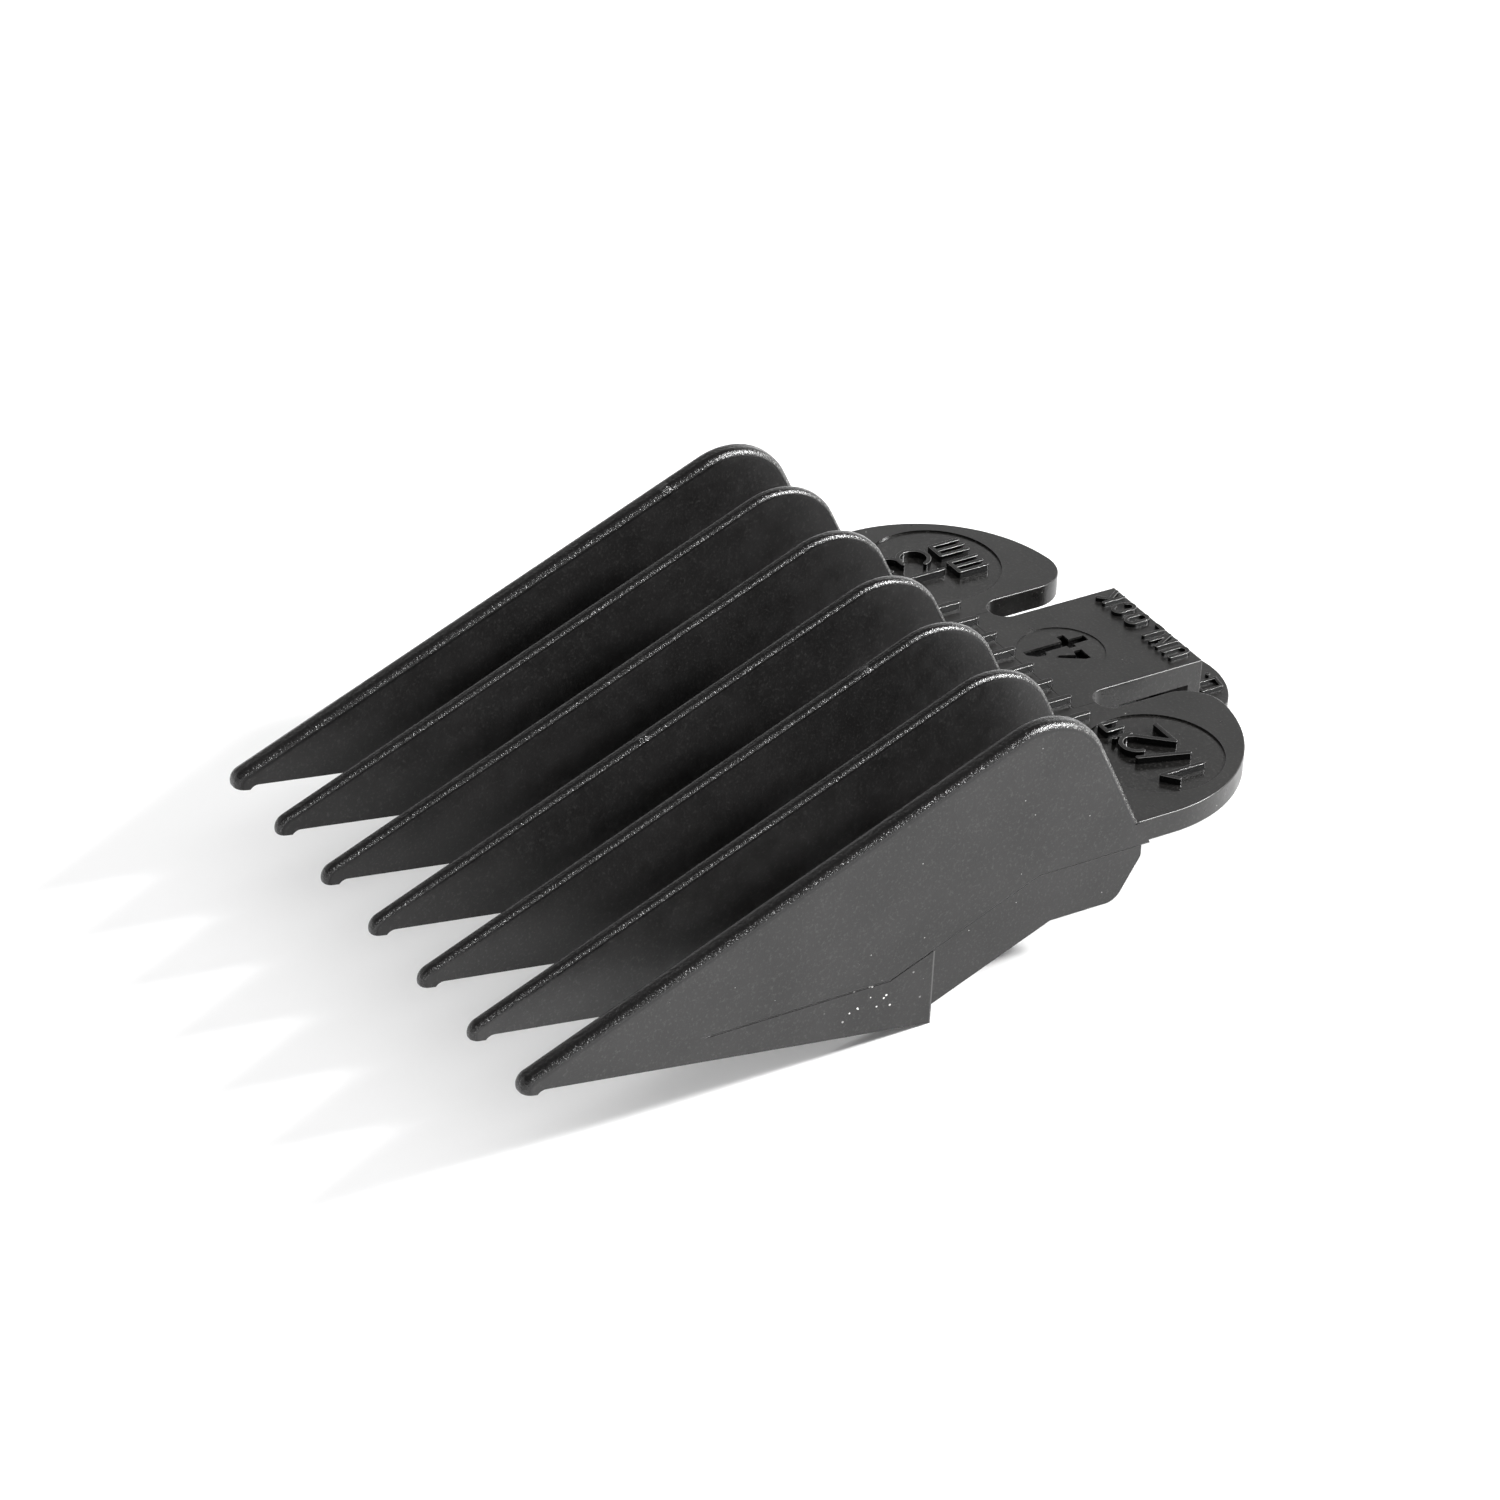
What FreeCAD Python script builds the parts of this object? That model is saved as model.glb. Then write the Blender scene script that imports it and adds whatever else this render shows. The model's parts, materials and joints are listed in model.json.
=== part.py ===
import FreeCAD, Part
import math
import os
import Sketcher
from FreeCAD import Placement, Rotation, Vector

# Clipper guard comb for a 13 mm (1/2 inch, number 4) cut.
#
# Design frame, in millimetres: X runs across the comb, Y runs from the rib toes (-Y) to the
# release tab (+Y) and Z is up, out of the skin side. Y is 0 at the step that stops the blade's
# tips and Z is 0 on top of the seat plate. The whole comb is then tipped about X so that it
# lies on its two outer step corners and on the thumb tongue, as it does on a table, and is
# moved so that the middle of its footprint is the origin.

DRIVING = (
    # ribs
    ("rib_pitch", 7.8, "spacing of the ribs"),
    ("rib_thick", 1.2, "thickness of an inner rib"),
    ("side_thick", 1.8, "thickness of an outer rib"),
    ("side_half", 24.05, "from the middle to an outer rib's outer face"),
    ("cut_length", 13.0, "from the blade's tip to the skin"),
    ("crest_deg", 22.9, "slope of the crest and of the blade's bevel"),
    ("tip_drop", 5.85, "depth of the blade tip's seat below the plate's top"),
    ("sole_drop", 12.7, "depth of the step's foot below the plate's top"),
    ("sole_deg", 8.36, "slope of the rib's underside"),
    ("toe_reach", 34.45, "from the step to the middle of the toe"),
    ("toe_round", 1.15, "radius of the toe"),
    ("toe_drop", 7.85, "depth of the toe's lower front corner"),
    ("nub_reach", 34.4, "from the step to the toe's lowest corner"),
    ("nub_drop", 8.05, "depth of the toe's lowest corner"),
    ("nub_round", 0.8, "hollow radius behind the toe"),
    ("heel_reach", 18.29, "from the step to the heel's foot on the plate"),
    ("heel_deg", 63.65, "slope of the heel's back"),
    ("heel_round", 6.0, "radius of the heel"),
    ("rib_edge", 0.5, "rounding of an inner rib's crest"),
    ("side_edge", 0.7, "rounding of an outer rib's crest"),
    ("skin_thick", 0.25, "how far the outer ribs stand proud of the ears"),
    ("line_width", 0.14, "width of the mould line on an outer rib"),
    ("line_depth", 0.06, "depth of the mould line on an outer rib"),
    ("line_drop", 7.5, "depth of the level stretch of the mould line"),
    ("line_reach", 20.0, "from the step to the front end of the mould line"),
    # web, plate, ears and cheeks
    ("plate_thick", 2.0, "thickness of the plate, the web and the tab"),
    ("web_front", 2.0, "from the step to the web's front edge"),
    ("ear_middle", 11.35, "middle of the ear's large arc, across"),
    ("ear_reach", 21.7, "middle of the ear's large arc, along"),
    ("ear_round", 12.45, "radius of the ear's large arc"),
    ("ear_corner", 3.2, "radius of the ear's corner beside the slot"),
    ("disc_middle", 16.04, "middle of the ear's round recess, across"),
    ("disc_reach", 24.87, "middle of the ear's round recess, along"),
    ("disc_round", 5.66, "radius of the ear's round recess"),
    ("disc_depth", 0.15, "depth of the round recesses"),
    ("cheek_drop", 11.1, "depth of the cheek's front foot"),
    ("cheek_level", 6.65, "depth of the cheek's level stretch"),
    ("cheek_turn", 16.5, "from the step to the cheek's rear corner"),
    ("cheek_rise", 3.2, "depth of the top of the cheek's rear bevel"),
    ("cheek_reach", 18.55, "from the step to the cheek's rear end"),
    ("cheek_round", 1.5, "radius of the cheek's rear corner"),
    ("cheek_inset", 0.06, "how far the cheek's outer face is set in"),
    ("soft_edge", 0.12, "rounding of the plate's, the tab's and the tongue's free edges"),
    # release tab
    ("slot_inner", 6.36, "half the width of the tab"),
    ("slot_outer", 9.14, "from the middle to a slot's outer edge"),
    ("slot_reach", 26.45, "from the step to the middle of a slot's round end"),
    ("tab_reach", 36.27, "from the step to the tab's rear edge"),
    ("root_gap", 0.03, "clearance beside the tab's root"),
    ("flex_reach", 24.2, "from the step to the line about which the tab bends"),
    ("flex_round", 1.6, "radius of the tab's root about that line"),
    ("flex_gap", 0.03, "radial clearance round the root"),
    ("number_reach", 26.85, "middle of the tab's round recess, along"),
    ("number_round", 3.62, "radius of the tab's round recess"),
    ("number_depth", 0.6, "depth of the engraved number"),
    ("leg_thick", 1.25, "thickness of the leg"),
    ("blade_thick", 3.2, "thickness of the blade that the catch holds"),
    ("catch_reach", 0.7, "how far the catch stands out of the leg"),
    ("catch_edge", 0.5, "height of the catch's blunt edge"),
    ("tongue_drop", 5.9, "depth of the thumb tongue's top"),
    ("tongue_thick", 1.3, "thickness of the thumb tongue"),
    ("tongue_round", 7.0, "radius of the tongue's rear edge"),
    ("tongue_reach", 35.33, "middle of the tongue's rear arc, along"),
    # raised marks
    ("mark_rise", 0.6, "height of the size marks above their recess"),
    ("mark_pen", 0.38, "width of a stroke of the size marks"),
    ("mark_edge", 0.06, "rounding of the marks' top edges"),
    ("word_rise", 0.35, "height of the raised word and of the tongue's frame"),
    ("word_pen", 0.34, "width of a stroke of the raised word"),
    ("frame_pen", 0.26, "width of the raised frame on the tongue"),
    ("grip_rise", 0.6, "height of the grip bars"),
    ("grip_pitch", 2.7, "spacing of the grip bars"),
    ("grip_wide", 0.5, "width of a grip bar"),
    ("grip_long", 2.6, "length of a grip bar"),
    ("grip_reach", 22.0, "middle of the grip bars, along"),
)
RIBS = 7
GRIPS = 8

TAN = "tan(Sizes.crest_deg)"
COS = "cos(Sizes.crest_deg)"
KNEE = f"(Sizes.tip_drop - Sizes.plate_thick) / {TAN}"
RAMP = f"(Sizes.tip_drop - Sizes.plate_thick / {COS}) / {TAN}"
FOOT = "(Sizes.heel_reach + Sizes.plate_thick / tan(Sizes.heel_deg))"
WALL_IN = "(Sizes.side_half - Sizes.side_thick / 2)"
EAR_OUT = "(Sizes.side_half - Sizes.skin_thick)"
SLOT_MID = "(Sizes.slot_inner + Sizes.slot_outer) / 2"
SLOT_ROUND = "(Sizes.slot_outer - Sizes.slot_inner) / 2"
PLATE_HALF = f"({SLOT_MID} + Sizes.root_gap)"
TONGUE_SOLE = "(Sizes.tongue_drop + Sizes.tongue_thick)"

doc = FreeCAD.newDocument("clipper_guard_comb")
sizes = doc.addObject("Spreadsheet::Sheet", "Sizes")
for row, (alias, number, meaning) in enumerate(DRIVING, start=1):
    sizes.set(f"A{row}", alias)
    sizes.set(f"B{row}", str(number))
    sizes.set(f"C{row}", meaning)
    sizes.setAlias(f"B{row}", alias)
doc.recompute()

pieces = {}


def value(expression):
    """The number that an expression on the sheet gives."""
    result = sizes.evalExpression(str(expression))
    return float(getattr(result, "Value", result))


def add_body(label):
    """A new body, which is one sub-part of the comb."""
    body = doc.addObject("PartDesign::Body", label)
    body.Label = label
    pieces[label] = body
    return body


def add_sketch(body, plane, name, offset="0"):
    """A sketch on one of the body's own origin planes, moved along the plane's normal."""
    sketch = body.newObject("Sketcher::SketchObject", f"{body.Label}_{name}")
    face = [item for item in body.Origin.OriginFeatures if item.Role == plane][0]
    sketch.AttachmentSupport = [(face, "")]
    sketch.MapMode = "FlatFace"
    if offset != "0":
        sketch.setExpression("AttachmentOffset.Base.z", offset)
    return sketch


def dimension(sketch, name, constraint, expression):
    """Add a dimension and bind it to the sheet."""
    index = sketch.addConstraint(constraint)
    sketch.renameConstraint(index, name)
    sketch.setExpression(f"Constraints.{name}", expression)


def pin_point(sketch, name, line, end, across, along):
    """Hold one end of a line at a place given by two expressions."""
    for kind, axis, expression in (("DistanceX", -2, across), ("DistanceY", -1, along)):
        number = value(expression)
        if abs(number) < 1e-9:
            sketch.addConstraint(Sketcher.Constraint("PointOnObject", line, end, axis))
        elif number > 0:
            limit = Sketcher.Constraint(kind, -1, 1, line, end, number)
            dimension(sketch, f"{name}_{kind[-1]}", limit, expression)
        else:
            limit = Sketcher.Constraint(kind, line, end, -1, 1, -number)
            dimension(sketch, f"{name}_{kind[-1]}", limit, f"-({expression})")


def draw_polygon(sketch, corners):
    """A closed outline of straight lines, each corner held by two expressions."""
    first = sketch.GeometryCount
    spots = [Vector(value(across), value(along), 0) for across, along in corners]
    for start, end in zip(spots, spots[1:] + spots[:1]):
        sketch.addGeometry(Part.LineSegment(start, end), False)
    count = len(corners)
    for index in range(count):
        following = first + (index + 1) % count
        sketch.addConstraint(Sketcher.Constraint("Coincident", first + index, 2, following, 1))
    for index, (across, along) in enumerate(corners):
        pin_point(sketch, f"corner_{first + index}", first + index, 1, across, along)


def draw_circle(sketch, across, along, radius):
    """A circle whose middle and radius are held by expressions."""
    middle = Vector(value(across), value(along), 0)
    circle = sketch.addGeometry(Part.Circle(middle, Vector(0, 0, 1), value(radius)), False)
    pin_point(sketch, f"middle_{circle}", circle, 3, across, along)
    limit = Sketcher.Constraint("Radius", circle, value(radius))
    dimension(sketch, f"radius_{circle}", limit, radius)


def extrude(body, sketch, name, length, kind="Pad", reverse=False, middle=False):
    """Pad or pocket a sketch by a length given as an expression."""
    before = body.Shape.Volume if kind == "Pocket" else 0.0
    feature = body.newObject(f"PartDesign::{kind}", f"{body.Label}_{name}")
    feature.Profile = sketch
    feature.Type = "Length"
    feature.Reversed = reverse
    feature.SideType = "Symmetric" if middle else "One side"
    feature.setExpression("Length", length)
    sketch.Visibility = False
    doc.recompute()
    if kind == "Pocket" and not body.Shape.Volume < before - 1e-4:
        raise ValueError(f"{feature.Name} cuts nothing")
    return feature


def round_edges(body, name, radius, wanted):
    """Fillet the edges whose middle point passes a test."""
    base = body.Tip
    names = []
    for index, edge in enumerate(base.Shape.Edges, start=1):
        middle = edge.valueAt((edge.FirstParameter + edge.LastParameter) / 2)
        if wanted(edge, middle):
            names.append(f"Edge{index}")
    fillet = body.newObject("PartDesign::Fillet", f"{body.Label}_{name}")
    fillet.Base = (base, names)
    fillet.setExpression("Radius", radius)
    doc.recompute()
    return fillet


def draw_rib(sketch):
    """The rib's side view: step, seat over the web, heel, crest, toe and sole."""
    slope = math.radians(value("Sizes.crest_deg"))
    back = math.radians(value("Sizes.heel_deg"))
    sole = math.radians(value("Sizes.sole_deg"))
    toe, nub, heel = (value(f"Sizes.{part}_round") for part in ("toe", "nub", "heel"))
    seat = -value("Sizes.tip_drop")
    thick = value("Sizes.plate_thick")
    front = value("Sizes.web_front")
    crest = seat + value("Sizes.cut_length") / math.cos(slope)
    foot = Vector(0, -value("Sizes.sole_drop"), 0)
    corner = Vector(front, seat + front * math.tan(slope), 0)
    ledge = corner + Vector(0, thick / math.cos(slope), 0)
    ramp = Vector(value(RAMP), 0, 0)
    rear = Vector(value("Sizes.heel_reach"), 0, 0)
    # the crest is z = crest + tan(slope) y and the heel's back passes through the rear point
    up = Vector(math.cos(slope), math.sin(slope), 0)
    out = Vector(-up.y, up.x, 0)
    rise = Vector(-math.cos(back), math.sin(back), 0)
    away = Vector(rise.y, -rise.x, 0)
    peak_y = (math.tan(back) * rear.x - crest) / (math.tan(slope) + math.tan(back))
    peak = Vector(peak_y, crest + math.tan(slope) * peak_y, 0)
    corner_half = (math.pi - slope - back) / 2
    tangent = heel / math.tan(corner_half)
    heel_mid = peak - up * tangent - out * heel
    toe_mid = Vector(-value("Sizes.toe_reach"), 0, 0)
    toe_mid.y = crest + math.tan(slope) * toe_mid.x - toe / math.cos(slope)
    toe_corner = Vector(0, -value("Sizes.toe_drop"), 0)
    toe_corner.x = toe_mid.x - math.sqrt(toe ** 2 - (toe_mid.y - toe_corner.y) ** 2)
    toe_end = math.atan2(toe_corner.y - toe_mid.y, toe_corner.x - toe_mid.x) + 2 * math.pi
    low = Vector(-value("Sizes.nub_reach"), -value("Sizes.nub_drop"), 0)
    # the hollow's middle lies nub below the sole and nub from the toe's lowest corner
    flat = Vector(math.sin(sole), math.cos(sole), 0)
    along = Vector(flat.y, -flat.x, 0)
    above = (low - foot).dot(flat) + nub
    nub_mid = foot - flat * nub + along * ((low - foot).dot(along) + math.sqrt(nub ** 2 - above ** 2))
    nub_end = math.atan2(low.y - nub_mid.y, low.x - nub_mid.x)
    seat_point = Vector(0, seat, 0)
    normal = Vector(0, 0, 1)
    lines = (
        (foot, seat_point),
        (seat_point, corner),
        (corner, ledge),
        (ledge, ramp),
        (ramp, rear),
        (rear, heel_mid + away * heel),
        (heel_mid + out * heel, toe_mid + out * toe),
        (nub_mid + flat * nub, foot),
        (toe_corner, low),
    )
    for start, end in lines:
        sketch.addGeometry(Part.LineSegment(start, end), False)
    arcs = (
        (heel_mid, heel, math.pi / 2 - back, math.pi / 2 + slope),
        (toe_mid, toe, math.pi / 2 + slope, toe_end),
        (nub_mid, nub, math.pi / 2 - sole, nub_end),
    )
    for middle, radius, start, end in arcs:
        circle = Part.Circle(middle, normal, radius)
        sketch.addGeometry(Part.ArcOfCircle(circle, start, end), False)
    step_face, bevel, web_end, web_top, plate_top, heel_back, crest_line, sole_line = range(8)
    toe_line, heel_arc, toe_arc, nub_arc = range(8, 12)
    joins = (
        ("Coincident", step_face, 2, bevel, 1),
        ("Coincident", bevel, 2, web_end, 1),
        ("Coincident", web_end, 2, web_top, 1),
        ("Coincident", web_top, 2, plate_top, 1),
        ("Coincident", plate_top, 2, heel_back, 1),
        ("Coincident", sole_line, 2, step_face, 1),
        ("Tangent", heel_back, 2, heel_arc, 1),
        ("Tangent", heel_arc, 2, crest_line, 1),
        ("Tangent", crest_line, 2, toe_arc, 1),
        ("Coincident", toe_arc, 2, toe_line, 1),
        ("Coincident", toe_line, 2, nub_arc, 2),
        ("Tangent", nub_arc, 1, sole_line, 1),
        ("Vertical", step_face),
        ("Vertical", web_end),
        ("Horizontal", plate_top),
        ("PointOnObject", step_face, 1, -2),
        ("PointOnObject", plate_top, 2, -1),
        ("Parallel", web_top, bevel),
        ("Parallel", crest_line, bevel),
    )
    for join_rule in joins:
        sketch.addConstraint(Sketcher.Constraint(*join_rule))
    rules = (
        ("bevel_angle", ("Angle", bevel, slope), "Sizes.crest_deg"),
        ("tip_drop", ("DistanceY", bevel, 1, -1, 1, -seat), "Sizes.tip_drop"),
        ("sole_drop", ("DistanceY", step_face, 1, -1, 1, -foot.y), "Sizes.sole_drop"),
        ("web_front", ("DistanceX", -1, 1, web_end, 1, front), "Sizes.web_front"),
        ("web_thick", ("Distance", web_top, 1, bevel, thick), "Sizes.plate_thick"),
        ("heel_reach", ("DistanceX", -1, 1, heel_back, 1, rear.x), "Sizes.heel_reach"),
        ("heel_angle", ("Angle", heel_back, math.pi - back), "180 - Sizes.heel_deg"),
        ("heel_round", ("Radius", heel_arc, heel), "Sizes.heel_round"),
        ("toe_round", ("Radius", toe_arc, toe), "Sizes.toe_round"),
        ("toe_reach", ("DistanceX", toe_arc, 3, -1, 1, -toe_mid.x), "Sizes.toe_reach"),
        ("nub_round", ("Radius", nub_arc, nub), "Sizes.nub_round"),
        ("toe_drop", ("DistanceY", toe_line, 1, -1, 1, -toe_corner.y), "Sizes.toe_drop"),
        ("nub_drop", ("DistanceY", toe_line, 2, -1, 1, -low.y), "Sizes.nub_drop"),
        ("nub_reach", ("DistanceX", toe_line, 2, -1, 1, -low.x), "Sizes.nub_reach"),
        ("cut_length", ("Distance", bevel, 1, crest_line, value("Sizes.cut_length")),
         "Sizes.cut_length"),
        ("sole_angle", ("Angle", sole_line, -sole), "-Sizes.sole_deg"),
    )
    for name, rule, expression in rules:
        dimension(sketch, name, Sketcher.Constraint(*rule), expression)


def upper_edge(edge, middle):
    """True on the crest, heel, back and toe of a rib, at either side face."""
    along_rib = abs(edge.Vertexes[0].X - edge.Vertexes[-1].X) < 1e-6
    at_toe = middle.y < -value("Sizes.toe_reach") and middle.z > -value("Sizes.toe_drop")
    return along_rib and (middle.z > 0.05 or at_toe)


def make_rib(number):
    """One rib about its own middle plane. Outer ribs also carry the side wall."""
    side = {1: -1, RIBS: 1}.get(number, 0)
    body = add_body(f"rib_{number}")
    outline = add_sketch(body, "YZ_Plane", "outline")
    draw_rib(outline)
    thick = "Sizes.side_thick" if side else "Sizes.rib_thick"
    extrude(body, outline, "blade", thick, middle=True)
    round_edges(body, "crest", "Sizes.side_edge" if side else "Sizes.rib_edge", upper_edge)
    if side:
        add_side_wall(body, side)
    return body


def add_side_wall(body, side):
    """Carry an outer rib down past the web and the plate, with a skin over the ear's edge."""
    section = [
        ("Sizes.web_front", f"-Sizes.tip_drop + Sizes.web_front * {TAN}"),
        (KNEE, "-Sizes.plate_thick"),
        ("Sizes.heel_reach", "-Sizes.plate_thick"),
        ("Sizes.heel_reach", "0"),
        (RAMP, "0"),
        ("Sizes.web_front", f"-Sizes.tip_drop + Sizes.web_front * {TAN} + Sizes.plate_thick / {COS}"),
    ]
    wall = add_sketch(body, "YZ_Plane", "wall_outline")
    draw_polygon(wall, section)
    extrude(body, wall, "wall", "Sizes.side_thick / 2", reverse=side < 0)
    inner = "(Sizes.side_thick / 2 - Sizes.skin_thick)"
    skin = add_sketch(body, "YZ_Plane", "skin_outline", f"{side} * {inner}")
    draw_polygon(skin, [
        ("Sizes.heel_reach", "-Sizes.plate_thick"),
        (FOOT, "-Sizes.plate_thick"),
        ("Sizes.heel_reach", "0"),
    ])
    extrude(body, skin, "skin", "Sizes.skin_thick", reverse=side < 0)
    line = add_sketch(body, "YZ_Plane", "line_outline", f"{side} * Sizes.side_thick / 2")
    turn = f"-(Sizes.line_drop - Sizes.tip_drop) / {TAN}"
    draw_polygon(line, [
        ("0", "-Sizes.tip_drop"),
        (turn, "-Sizes.line_drop"),
        ("-Sizes.line_reach", "-Sizes.line_drop"),
        ("-Sizes.line_reach", "-Sizes.line_drop - Sizes.line_width"),
        (turn, "-Sizes.line_drop - Sizes.line_width"),
        ("0", "-Sizes.tip_drop - Sizes.line_width"),
    ])
    extrude(body, line, "line", "Sizes.line_depth", kind="Pocket", reverse=side < 0)


def make_web():
    """The sloping web that joins the ribs above the blade's bevel."""
    body = add_body("bridge_web")
    sketch = add_sketch(body, "YZ_Plane", "outline")
    draw_polygon(sketch, [
        ("Sizes.web_front", f"-Sizes.tip_drop + Sizes.web_front * {TAN}"),
        (KNEE, "-Sizes.plate_thick"),
        (KNEE, "0"),
        (RAMP, "0"),
        ("Sizes.web_front", f"-Sizes.tip_drop + Sizes.web_front * {TAN} + Sizes.plate_thick / {COS}"),
    ])
    extrude(body, sketch, "web", f"2 * {WALL_IN}", middle=True)
    front = value("Sizes.web_front")

    def front_edge(edge, middle):
        along_web = abs(edge.Vertexes[0].X - edge.Vertexes[-1].X) > 1.0
        return along_web and abs(middle.y - front) < 1e-3

    round_edges(body, "rim", "Sizes.soft_edge", front_edge)


def cut_slot_ends(body):
    """Round off the front ends of the two slots."""
    sketch = add_sketch(body, "XY_Plane", "slot_ends")
    for sign in ("", "-"):
        draw_circle(sketch, f"{sign}({SLOT_MID})", "Sizes.slot_reach", SLOT_ROUND)
    extrude(body, sketch, "slots", "Sizes.plate_thick", kind="Pocket")


def make_plate():
    """The flat middle of the seat, hollowed at the rear for the tab's root."""
    body = add_body("seat_plate")
    sketch = add_sketch(body, "XY_Plane", "outline")
    draw_polygon(sketch, [
        (f"-{PLATE_HALF}", KNEE),
        (PLATE_HALF, KNEE),
        (PLATE_HALF, "Sizes.flex_reach"),
        (f"-{PLATE_HALF}", "Sizes.flex_reach"),
    ])
    extrude(body, sketch, "plate", "Sizes.plate_thick", reverse=True)
    hollow = add_sketch(body, "YZ_Plane", "hollow_outline")
    radius = "Sizes.flex_round + Sizes.flex_gap"
    draw_circle(hollow, "Sizes.flex_reach", "-Sizes.plate_thick / 2", radius)
    extrude(body, hollow, "hollow", f"2 * {PLATE_HALF}", kind="Pocket", middle=True)


def make_ear_right():
    """A rounded ear with a shallow round recess for its size mark."""
    body = add_body("ear_right")
    seam = value(PLATE_HALF)
    inner = value("Sizes.slot_outer")
    wall = value(WALL_IN)
    edge = value(EAR_OUT)
    knee = value(KNEE)
    heel = value("Sizes.heel_reach")
    large = value("Sizes.ear_round")
    small = value("Sizes.ear_corner")
    slot = value(SLOT_ROUND)
    large_mid = Vector(edge - large, value("Sizes.ear_reach"), 0)
    lean = math.acos((inner + small - large_mid.x) / (large - small))
    small_mid = Vector(inner + small, large_mid.y + (large - small) * math.sin(lean), 0)
    slot_mid = Vector(value(SLOT_MID), value("Sizes.slot_reach"), 0)
    slot_lean = math.acos((seam - slot_mid.x) / slot)
    lines = (
        (Vector(seam, knee, 0), Vector(wall, knee, 0)),
        (Vector(wall, knee, 0), Vector(wall, heel, 0)),
        (Vector(wall, heel, 0), Vector(edge, heel, 0)),
        (Vector(edge, heel, 0), Vector(edge, large_mid.y, 0)),
        (Vector(inner, small_mid.y, 0), Vector(inner, slot_mid.y, 0)),
        (Vector(seam, slot_mid.y - slot * math.sin(slot_lean), 0), Vector(seam, knee, 0)),
    )
    sketch = add_sketch(body, "XY_Plane", "outline")
    for start, end in lines:
        sketch.addGeometry(Part.LineSegment(start, end), False)
    arcs = (
        (large_mid, large, 0, lean),
        (small_mid, small, lean, math.pi),
        (slot_mid, slot, -slot_lean, 0),
    )
    for middle, radius, start, end in arcs:
        circle = Part.Circle(middle, Vector(0, 0, 1), radius)
        sketch.addGeometry(Part.ArcOfCircle(circle, start, end), False)
    front, side, shelf, flank, slot_edge, seam_edge, large_arc, small_arc, slot_arc = range(9)
    joins = (
        ("Coincident", front, 2, side, 1),
        ("Coincident", side, 2, shelf, 1),
        ("Coincident", shelf, 2, flank, 1),
        ("Coincident", slot_arc, 1, seam_edge, 1),
        ("Coincident", seam_edge, 2, front, 1),
        ("Tangent", flank, 2, large_arc, 1),
        ("Tangent", large_arc, 2, small_arc, 1),
        ("Tangent", small_arc, 2, slot_edge, 1),
        ("Tangent", slot_edge, 2, slot_arc, 2),
        ("Horizontal", front),
        ("Vertical", side),
        ("Horizontal", shelf),
        ("Vertical", flank),
        ("Vertical", slot_edge),
        ("Vertical", seam_edge),
    )
    for rule in joins:
        sketch.addConstraint(Sketcher.Constraint(*rule))
    rules = (
        ("seam", ("DistanceX", -1, 1, front, 1, seam), PLATE_HALF),
        ("inner", ("DistanceX", -1, 1, slot_edge, 1, inner), "Sizes.slot_outer"),
        ("knee", ("DistanceY", -1, 1, front, 1, knee), KNEE),
        ("wall", ("DistanceX", -1, 1, front, 2, wall), WALL_IN),
        ("heel", ("DistanceY", -1, 1, side, 2, heel), "Sizes.heel_reach"),
        ("edge", ("DistanceX", -1, 1, shelf, 2, edge), EAR_OUT),
        ("large", ("Radius", large_arc, large), "Sizes.ear_round"),
        ("reach", ("DistanceY", -1, 1, large_arc, 3, large_mid.y), "Sizes.ear_reach"),
        ("small", ("Radius", small_arc, small), "Sizes.ear_corner"),
        ("slot", ("Radius", slot_arc, slot), SLOT_ROUND),
        ("slot_reach", ("DistanceY", -1, 1, slot_arc, 3, slot_mid.y), "Sizes.slot_reach"),
    )
    for name, rule, expression in rules:
        dimension(sketch, name, Sketcher.Constraint(*rule), expression)
    extrude(body, sketch, "plate", "Sizes.plate_thick", reverse=True)
    shelf_y = heel

    def free_outline(edge, middle):
        flat = abs(edge.Vertexes[0].Z - edge.Vertexes[-1].Z) < 1e-6
        joined = middle.y < shelf_y + 1e-3 or abs(middle.x - seam) < 1e-3
        return flat and not joined

    round_edges(body, "rim", "Sizes.soft_edge", free_outline)
    recess = add_sketch(body, "XY_Plane", "recess_outline")
    draw_circle(recess, "Sizes.disc_middle", "Sizes.disc_reach", "Sizes.disc_round")
    extrude(body, recess, "recess", "Sizes.disc_depth", kind="Pocket")
    return body


def make_ear_left(source):
    """The other ear is the mirror image of the first."""
    ear = doc.addObject("Part::Mirroring", "ear_left")
    ear.Label = "ear_left"
    ear.Source = source
    ear.Normal = Vector(1, 0, 0)
    pieces["ear_left"] = ear


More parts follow.
